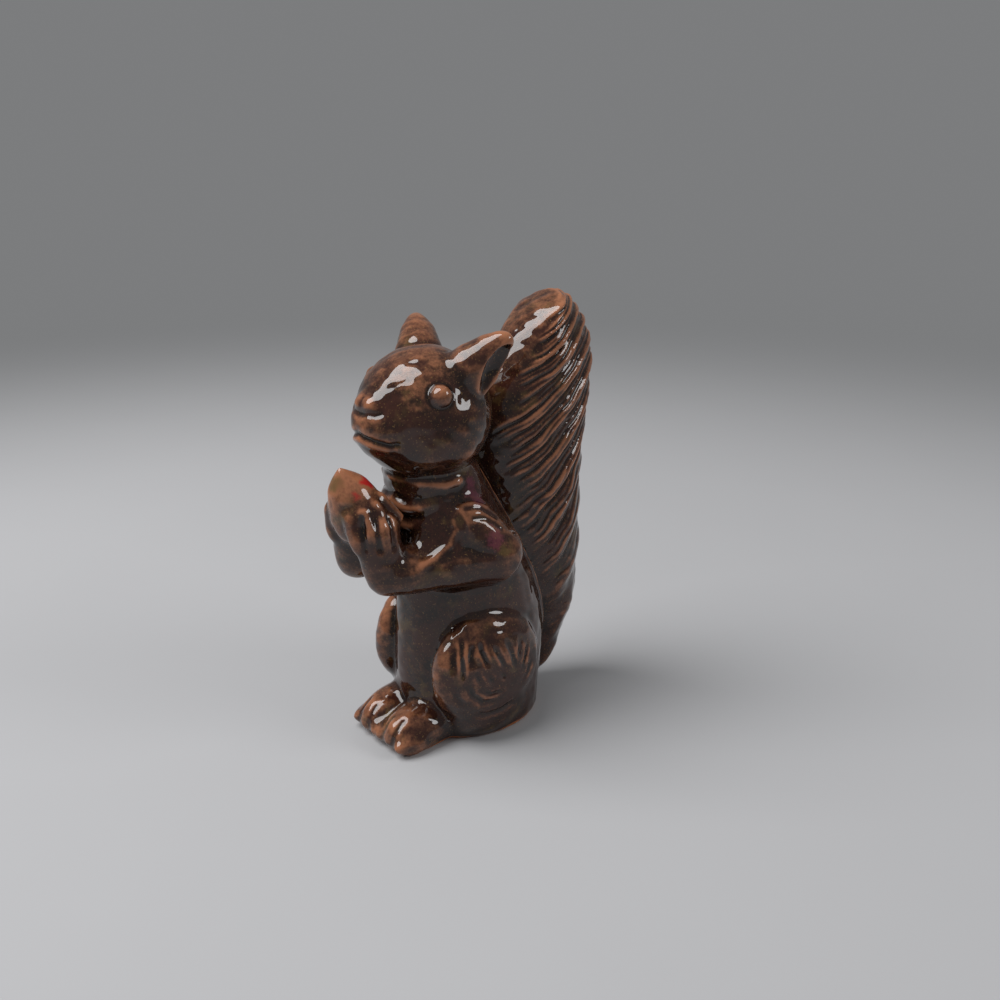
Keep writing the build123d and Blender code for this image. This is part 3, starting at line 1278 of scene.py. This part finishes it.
@dataclass
class Tail(Modelling):
    """Fur of the upright tail: strands that follow its slanting locks, and a smooth strip along the front.

    Each section has its share of the way up, how far back and how high its front edge is, and its slope.
    """

    sections: tuple[tuple[float, float, float, float], ...] = (
        (0.0, 21.0, 1.0, 0.2), (0.1, 19.0, 14.2, 0.75), (0.2, 15.4, 27.0, 0.95), (0.3, 11.0, 39.6, 0.92),
        (0.4, 6.9, 52.3, 0.86), (0.5, 4.3, 65.4, 0.77), (0.6, 4.0, 78.7, 0.69), (0.7, 6.5, 91.8, 0.62),
        (0.8, 11.9, 103.9, 0.55), (0.9, 20.6, 114.0, 0.45), (1.0, 32.0, 120.8, 0.3))
    halvings: int = 22
    locks: float = 13.98
    first_lock: float = 0.035
    strands_per_lock: int = 2
    slow_drift: Unevenness = Unevenness(11, 34.0, 0.30)
    quick_drift: Unevenness = Unevenness(12, 9.0, 0.07)
    depth: float = 0.85
    roundness: float = 0.8
    mean_level: float = 0.6
    thickness: float = 0.75
    thickness_change: Unevenness = Unevenness(14, 15.0, 0.4)
    fine_depth: float = 0.3
    fine_shift: float = 0.35
    fine_drift: float = 1.4
    strip: float = 7.0
    fringe: float = 2.0
    fringe_strands: float = 3.0
    fringe_change: Unevenness = Unevenness(13, 11.0, 2.0)
    fringe_fade: Span = (-1.5, 6.0)
    foot_share: float = 0.2
    foot_fade: Span = (0.12, 0.42)
    tip_fade: Span = (1.0, 0.94)
    edge_rounds: int = 4

    def share(self, skin: Skin) -> tuple[np.ndarray, np.ndarray]:
        """Finds the slanting section that each point lies on.

        Args:
            skin: the fused surface.

        Returns:
            Share of the way up, and distance behind the front edge along the section.
        """
        back, up = skin.points[:, 1], skin.points[:, 2]
        shares, fronts, heights, slopes = np.array(self.sections).T
        low, high = np.zeros(len(back)), np.ones(len(back))
        for _ in range(self.halvings):
            middle = (low + high) / 2.0
            behind = back - np.interp(middle, shares, fronts)
            over = up - np.interp(middle, shares, heights) - np.interp(middle, shares, slopes) * behind
            low = np.where(over > 0.0, middle, low)
            high = np.where(over > 0.0, high, middle)
        slope = np.interp(low, shares, slopes)
        return low, (back - np.interp(low, shares, fronts)) * np.sqrt(1.0 + slope**2)

    def carve(self, skin: Skin) -> np.ndarray:
        """Height of the strands.

        Args:
            skin: the fused surface.

        Returns:
            Millimetres, one for each point.
        """
        share, behind = self.share(skin)
        drift = self.slow_drift.at(skin.points) + self.quick_drift.at(skin.points)
        phase = (share - self.first_lock) * self.locks * self.strands_per_lock + drift
        strand = np.abs(np.cos(np.pi * phase)) ** self.roundness - self.mean_level
        fine_phase = 2.0 * phase + self.fine_shift + self.fine_drift * drift
        fine = np.abs(np.cos(np.pi * fine_phase)) - self.mean_level
        thick = self.thickness + self.thickness_change.at(skin.points)
        start = self.strip + self.fringe * np.cos(2.0 * np.pi * phase / self.fringe_strands)
        start += self.fringe_change.at(skin.points)
        mask = smoothstep(*self.fringe_fade, behind - start) * smoothstep(*self.tip_fade, share)
        mask *= self.foot_share + (1.0 - self.foot_share) * smoothstep(*self.foot_fade, share)
        relief = strand * thick * self.depth + fine * self.fine_depth
        return relief * mask * skin.soft(self.edge_rounds, Clay.TAIL)


@dataclass(frozen=True)
class Relief:
    """How creases and ridges of one size show in the glaze.

    The rounds set the size; at the pool's depth or the ridge's height, in millimetres, the whole share shows.
    """

    rounds: int
    pool_depth: float
    pool_share: float
    ridge_height: float
    ridge_share: float


@dataclass(frozen=True)
class GlazeMarks:
    """Marks on the points that say where the glaze pools, wears thin and leaves the clay bare, and where
    painted light lightens upward-facing surfaces and the acorn.
    """

    reliefs: tuple[Relief, ...] = (Relief(6, 0.22, 0.6, 0.16, 0.7), Relief(60, 1.2, 0.7, 0.9, 0.5))
    painted_top_light_share: float = 0.30
    acorn_painted_highlight_share: float = 0.28
    eye_loss: float = 0.35
    edge_rounds: int = 2
    bare_fade: Span = (0.9, 0.3)
    bare_edge: Unevenness = Unevenness(31, 14.0, 0.5)

    def lay(self, skin: Skin) -> None:
        """Leaves the marks.

        Args:
            skin: the sculpted surface.
        """
        pool, ridge = np.zeros(len(skin.points)), np.zeros(len(skin.points))
        for relief in self.reliefs:
            hollow = skin.hollow(relief.rounds)
            pool += relief.pool_share * np.clip(hollow / relief.pool_depth, 0.0, 1.0)
            ridge += relief.ridge_share * np.clip(-hollow / relief.ridge_height, 0.0, 1.0)
        # painted light: surfaces that face up are lightened toward rust, standing in for the glare of light
        # from above
        ridge += self.painted_top_light_share * np.clip(skin.normals[:, 2], 0.0, 1.0)
        # painted highlight: the acorn is lightened toward rust, standing in for the bright highlight on it
        ridge += self.acorn_painted_highlight_share * skin.soft(self.edge_rounds, Clay.ACORN)
        beads = skin.soft(self.edge_rounds, *EYES)
        skin.marks["pool"] = pool
        # the ridge mark holds real wear on edges plus painted light on upward faces and the acorn
        skin.marks["ridge"] = np.minimum(ridge, 1.0) * (1.0 - self.eye_loss * beads)
        skin.marks["bare"] = smoothstep(*self.bare_fade, skin.points[:, 2] + self.bare_edge.at(skin.points))


@dataclass(frozen=True)
class Stains:
    """Spots of other colours that ran in the glaze, with a frayed edge."""

    plum: tuple[Blob, ...] = (
        Blob((15.2, -6.9, 71.5), 3.6, 1.0, False),
        Blob((20.9, -5.5, 61.3), 3.4, 1.0, False),
        Blob((12.2, -7.2, 75.7), 2.6, 0.8, False),
        Blob((16.0, 5.0, 97.0), 3.0, 0.7, False),
    )
    olive: tuple[Blob, ...] = (
        Blob((0.2, -41.3, 78.6), 3.2, 0.9, False),
        Blob((22.6, -3.5, 57.8), 2.4, 1.0, False),
        Blob((12.0, -8.5, 76.5), 1.8, 0.8, False),
        Blob((0.0, -27.0, 8.0), 2.6, 0.7, False),
        Blob((1.5, -38.0, 67.0), 2.6, 0.8, False),
    )
    scarlet: tuple[Blob, ...] = (
        Blob((3.0, -32.9, 78.7), 2.6, 1.0, False),
        Blob((5.6, -38.0, 76.4), 2.2, 0.7, False),
    )
    fraying: tuple[Unevenness, ...] = tuple(Unevenness(seed, 4.5, 0.9) for seed in (51, 52, 53))

    def lay(self, skin: Skin) -> None:
        """Leaves the stains as marks.

        Args:
            skin: the sculpted surface.
        """
        frayed = skin.points + np.stack([waves.at(skin.points) for waves in self.fraying], axis=1)
        for name, spots in (("plum", self.plum), ("olive", self.olive), ("scarlet", self.scarlet)):
            skin.marks[name] = np.clip(total_height(spots, frayed), 0.0, 1.0)


@dataclass
class Figure:
    """The whole figure: fused, sculpted, glazed and parted into its clay pieces."""

    fusing: Fusing = field(default_factory=Fusing)
    ears: Ears = field(default_factory=Ears)
    others: tuple[Modelling, ...] = field(
        default_factory=lambda: (Head(), Body(), Arms(), Haunches(), Feet(), Tail()))
    glaze_marks: GlazeMarks = GlazeMarks()
    stains: Stains = Stains()
    splitting: Splitting = field(default_factory=Splitting)
    glaze: TreacleGlaze = TreacleGlaze()
    even_strength: float = 0.6
    even_rounds: int = 6
    crease_width: float = 1.8
    crease_strength: float = 0.7
    crease_rounds: int = 26
    crease_edge_rounds: int = 4
    crease_limit: float = 0.9
    eye_guard: float = 2.0
    acorn_guard: float = 0.85
    acorn_edge_rounds: int = 2
    base: Zone = Zone(0.9, 90, heights=(1.5, 3.0))
    base_height_fade: Span = (17.0, 7.0)
    base_gap_fade: Span = (6.5, 1.5)
    base_edge_rounds: int = 6
    base_crease_strength: float = 0.3
    lumps: Unevenness = Unevenness(21, 13.0, 0.14)
    ripples: Unevenness = Unevenness(22, 4.0, 0.065)
    last_strength: float = 0.5

    def soften(self, skin: Skin) -> None:
        """Evens out the fused surface, fills its creases and blends the haunches into the base.

        Args:
            skin: the fused surface.
        """
        skin.relax(np.full(len(skin.points), self.even_strength), self.even_rounds)
        crease = skin.feathered(smoothstep(self.crease_width, 0.0, skin.apart), self.crease_edge_rounds)
        beads = skin.soft(self.crease_edge_rounds, *EYES)
        nut = skin.feathered(np.maximum(skin.of(Clay.ACORN), skin.meets(Clay.ACORN)), self.acorn_edge_rounds)
        crease *= (1.0 - np.minimum(self.eye_guard * beads, 1.0)) * (1.0 - self.acorn_guard * nut)
        low = skin.soft(self.base_edge_rounds, *HAUNCHES, Clay.BODY)
        low *= smoothstep(*self.base_height_fade, skin.points[:, 2])
        low *= smoothstep(*self.base_gap_fade, skin.apart)
        strength = self.crease_strength * crease + self.base_crease_strength * low
        skin.relax(np.clip(strength, 0.0, self.crease_limit), self.crease_rounds)
        self.base.smooth(skin, low * self.base.share(skin))

    def build(self) -> list[bpy.types.Object]:
        """Builds all the pieces.

        Returns:
            The pieces, one for each clay piece.
        """
        skin = self.fusing.build(self.ears.build())
        log.info("fused surface: %d points", len(skin.points))
        low, high = skin.points.min(axis=0), skin.points.max(axis=0)
        low[2] = max(low[2], 0.0)  # the underside doesn't sink into the floor
        self.soften(skin)
        parts = (self.ears, *self.others)
        for part in parts:
            part.shape(skin)
        heights = self.lumps.at(skin.points) + self.ripples.at(skin.points)
        heights += sum(part.carve(skin) for part in parts)
        skin.raise_by(heights)
        skin.relax(np.full(len(skin.points), self.last_strength), 1)
        skin.points = np.clip(skin.points, low, high)
        skin.turn_normals()
        self.glaze_marks.lay(skin)
        self.stains.lay(skin)
        owners = self.splitting.settle(skin)
        material = self.glaze.make()
        pieces = []
        for kind in CLAY:
            thing = self.splitting.piece(skin, owners, kind)
            thing.data.materials.append(material)
            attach(thing, "root")
            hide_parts(kind.value)
            pieces.append(thing)
        return pieces


@dataclass(frozen=True)
class FloorPaper:
    """Pale matt paper, which passes into the plain surroundings further out."""

    pale: Colour = (0.40, 0.40, 0.41)
    surroundings: Colour = (0.20, 0.203, 0.207)
    dimming: float = 0.97
    cloud: Cloudiness = Cloudiness(60.0, 3.0)
    roughness: float = 0.9
    specular: float = 0.2
    fade: Span = (0.22, 0.75)

    def make(self) -> bpy.types.Material:
        """Builds the material.

        Returns:
            The material.
        """
        graph = Graph("floor paper")
        dim = tuple(self.dimming * part for part in self.pale)
        graph.finish({
            "Base Color": graph.mix(graph.noise(self.cloud), dim, self.pale),
            "Roughness": self.roughness,
            "Specular IOR Level": self.specular,
        })
        glow = graph.node("ShaderNodeEmission", {}, {"Color": self.surroundings, "Strength": 1.0})
        reach = graph.node("ShaderNodeVectorMath", {"operation": "LENGTH"}, {0: graph.place()})
        away = Value(graph, reach.outputs["Value"]).step(*self.fade)
        mixed = graph.node("ShaderNodeMixShader", {}, {0: away})
        graph.tree.links.new(graph.shader.outputs[0], mixed.inputs[1])
        graph.tree.links.new(glow.outputs[0], mixed.inputs[2])
        graph.tree.links.new(mixed.outputs[0], graph.tree.nodes["Material Output"].inputs["Surface"])
        return graph.material


@dataclass(frozen=True)
class Lamp:
    """Soft oval lamp: its name, where it hangs, its two axes in metres and its power in watts."""

    name: str
    spot: Place
    size: Span
    power: float

    def hang(self, aim: Place) -> None:
        """Hangs the lamp.

        Args:
            aim: what it points at.
        """
        data = bpy.data.lights.new(self.name, "AREA")
        data.shape = "ELLIPSE"
        data.size, data.size_y = self.size
        data.energy = self.power
        thing = bpy.data.objects.new(self.name, data)
        thing.location = self.spot
        thing.rotation_euler = (Vector(aim) - Vector(self.spot)).to_track_quat("-Z", "Y").to_euler()
        bpy.context.scene.collection.objects.link(thing)


@dataclass
class Studio:
    """Camera, floor, surroundings and soft lamps, in metres."""

    lens: float = 36.0
    sensor: float = 36.0
    eye: Place = (0.2098, -0.1572, 0.1585)
    gaze: Place = (-0.732, 0.593, -0.3355)
    paper: FloorPaper = FloorPaper()
    floor_radius: float = 3.0
    floor_corners: int = 96
    lamps: tuple[Lamp, ...] = (
        Lamp("key", (-0.22, -0.40, 0.80), (0.62, 0.95), 10.5),
        Lamp("side", (0.62, 0.50, 0.48), (0.40, 0.34), 2.4),
    )
    aim: Place = (0.0, 0.0, 0.07)

    def camera(self) -> None:
        """Places the camera where the photo was taken from."""
        data = bpy.data.cameras.new("photo camera")
        data.lens = self.lens
        data.sensor_width = self.sensor
        thing = bpy.data.objects.new("photo camera", data)
        thing.location = self.eye
        thing.rotation_euler = Vector(self.gaze).to_track_quat("-Z", "Y").to_euler()
        bpy.context.scene.collection.objects.link(thing)
        bpy.context.scene.camera = thing

    def floor(self) -> None:
        """Lays the floor."""
        bpy.ops.object.select_all(action="DESELECT")
        bpy.ops.mesh.primitive_circle_add(
            vertices=self.floor_corners, radius=self.floor_radius, fill_type="NGON", location=(0.0, 0.0, 0.0))
        thing = bpy.context.active_object
        thing.name = "floor"
        thing.data.materials.append(self.paper.make())

    def sky(self) -> None:
        """Sets the plain surroundings."""
        world = bpy.data.worlds.new("studio")
        bpy.context.scene.world = world
        world.use_nodes = True
        ground = world.node_tree.nodes["Background"]
        ground.inputs["Color"].default_value = (*self.paper.surroundings, 1.0)
        ground.inputs["Strength"].default_value = 1.0

    def build(self) -> None:
        """Sets up everything."""
        self.camera()
        self.floor()
        self.sky()
        for lamp in self.lamps:
            lamp.hang(self.aim)


def main() -> None:
    """Builds the figure and its studio, and reports each piece."""
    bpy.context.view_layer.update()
    for piece in Figure().build():
        log.info("%s: %d faces", piece.name, len(piece.data.polygons))
    Studio().build()
    scene = bpy.context.scene
    scene.view_settings.view_transform = "Standard"


if __name__ == "__main__":
    main()
